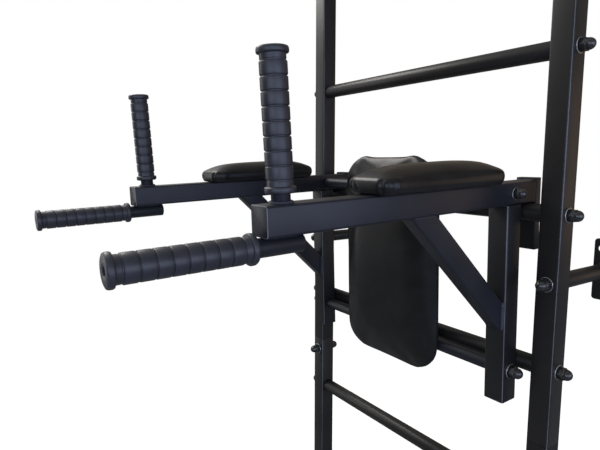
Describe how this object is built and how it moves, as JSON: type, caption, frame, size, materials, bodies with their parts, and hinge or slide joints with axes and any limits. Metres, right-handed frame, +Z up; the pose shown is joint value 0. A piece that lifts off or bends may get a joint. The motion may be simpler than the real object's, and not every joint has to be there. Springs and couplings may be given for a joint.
{
  "type": "wall bars with dip station",
  "caption": "Black steel wall bars with round rungs and a hang-on dip station with padded arms, a back pad and rubber grips.",
  "frame": {"origin": "on the floor at the foot of the wall, midway between the two uprights", "axes": "X runs along the rungs to the right of a person who faces the wall, +Y points into the wall, +Z points up"},
  "size_m": [0.7526, 0.9173, 2.2],
  "materials": {
    "powder_coat": "black textured powder coat",
    "station_coat": "black textured powder coat",
    "rod_steel": "black plated steel",
    "plastic": "black moulded plastic",
    "rubber": "satin black rubber",
    "leatherette": "soft black leatherette over foam",
    "plywood": "plain plywood"
  },
  "bodies": {
    "ladder": {"upright_left_lower": "powder_coat", "upright_left_upper": "powder_coat", "wall_bracket_left_low": "powder_coat", "wall_bracket_left_middle": "powder_coat", "wall_bracket_left_top": "powder_coat", "upright_right_lower": "powder_coat", "upright_right_upper": "powder_coat", "wall_bracket_right_low": "powder_coat", "wall_bracket_right_middle": "powder_coat", "wall_bracket_right_top": "powder_coat", "rung_1": "powder_coat", "rung_2": "powder_coat", "rung_3": "powder_coat", "rung_4": "powder_coat", "rung_5": "powder_coat", "rung_6": "powder_coat", "rung_7": "powder_coat", "rung_8": "powder_coat", "joint_sleeve_left": "rod_steel", "seam_bolt_left": "rod_steel", "joint_sleeve_right": "rod_steel", "seam_bolt_right": "rod_steel", "rung_rod_1": "rod_steel", "rung_rod_2": "rod_steel", "rung_rod_3": "rod_steel", "rung_rod_4": "rod_steel", "rung_rod_5": "rod_steel", "rung_rod_6": "rod_steel", "rung_rod_7": "rod_steel", "rung_rod_8": "rod_steel", "top_cap_left": "plastic", "foot_cap_left": "plastic", "top_cap_right": "plastic", "foot_cap_right": "plastic"},
    "dip_station": {"arm_left": "station_coat", "post_left": "station_coat", "brace_left": "station_coat", "hook_leg_left": "station_coat", "front_handle_left": "station_coat", "upright_handle_left": "station_coat", "arm_right": "station_coat", "post_right": "station_coat", "brace_right": "station_coat", "hook_leg_right": "station_coat", "front_handle_right": "station_coat", "upright_handle_right": "station_coat", "upper_crossbar": "station_coat", "lower_crossbar": "station_coat", "upper_crossbar_rod": "rod_steel", "lower_crossbar_rod": "rod_steel", "front_grip_left": "rubber", "upright_grip_left": "rubber", "front_grip_right": "rubber", "upright_grip_right": "rubber", "arm_pad_left": "leatherette", "arm_pad_right": "leatherette", "back_pad": "leatherette", "arm_pad_board_left": "plywood", "arm_pad_board_right": "plywood", "back_pad_board": "plywood"}
  },
  "joints": [
    {"name": "station_lift", "type": "slide", "parent": "ladder", "child": "dip_station", "axis": [0, -0.036, 0.9994], "range_m": [0, 0.1]}
  ]
}
